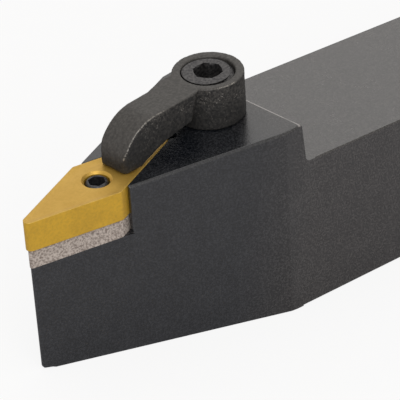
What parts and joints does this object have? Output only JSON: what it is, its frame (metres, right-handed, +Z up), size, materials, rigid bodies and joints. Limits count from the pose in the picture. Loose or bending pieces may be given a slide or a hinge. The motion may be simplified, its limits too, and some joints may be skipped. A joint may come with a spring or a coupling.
{
  "type": "turning toolholder with clamped profiling insert",
  "caption": "Square shank turning toolholder with a wedge-shaped head, a rhombic insert on a shim, a lock pin and a swinging top clamp.",
  "frame": {"origin": "on the bottom face, under the middle of the overall length", "axes": "+X runs back along the shank from the insert to the rear end, +Z is up, and Y = 0 is the plane of symmetry"},
  "size_m": [0.1524, 0.0254, 0.0391],
  "materials": {
    "blackened_steel": "black oxide on milled steel, satin",
    "shim_carbide": "sintered carbide, matt and finely speckled",
    "gold_coating": "gold titanium nitride coating on carbide, satin",
    "pin_steel": "blackened steel, satin",
    "clamp_steel": "blackened cast steel with a smooth back and rough sides",
    "screw_steel": "blackened steel, turned top"
  },
  "bodies": {
    "holder": {"holder_body": "blackened_steel", "shim": "shim_carbide", "insert": "gold_coating"},
    "pin": {"lock_pin": "pin_steel"},
    "screw": {"clamp_screw": "screw_steel"},
    "clamp_arm": {"clamp": "clamp_steel"}
  },
  "joints": [
    {"name": "screw_lift", "type": "slide", "parent": "holder", "child": "screw", "axis": [-0.1495, 0, 0.9888], "range_m": [0, 0.003]},
    {"name": "clamp_swing", "type": "hinge", "parent": "screw", "child": "clamp_arm", "pos_m": [-0.04048, 0, 0.03826], "axis": [-0.1495, 0, 0.9888], "continuous": true},
    {"name": "lock_pin_turn", "type": "hinge", "parent": "holder", "child": "pin", "pos_m": [-0.06234, 0, 0.02752], "axis": [-0.1495, 0, 0.9888], "range_deg": [0, 360]}
  ]
}
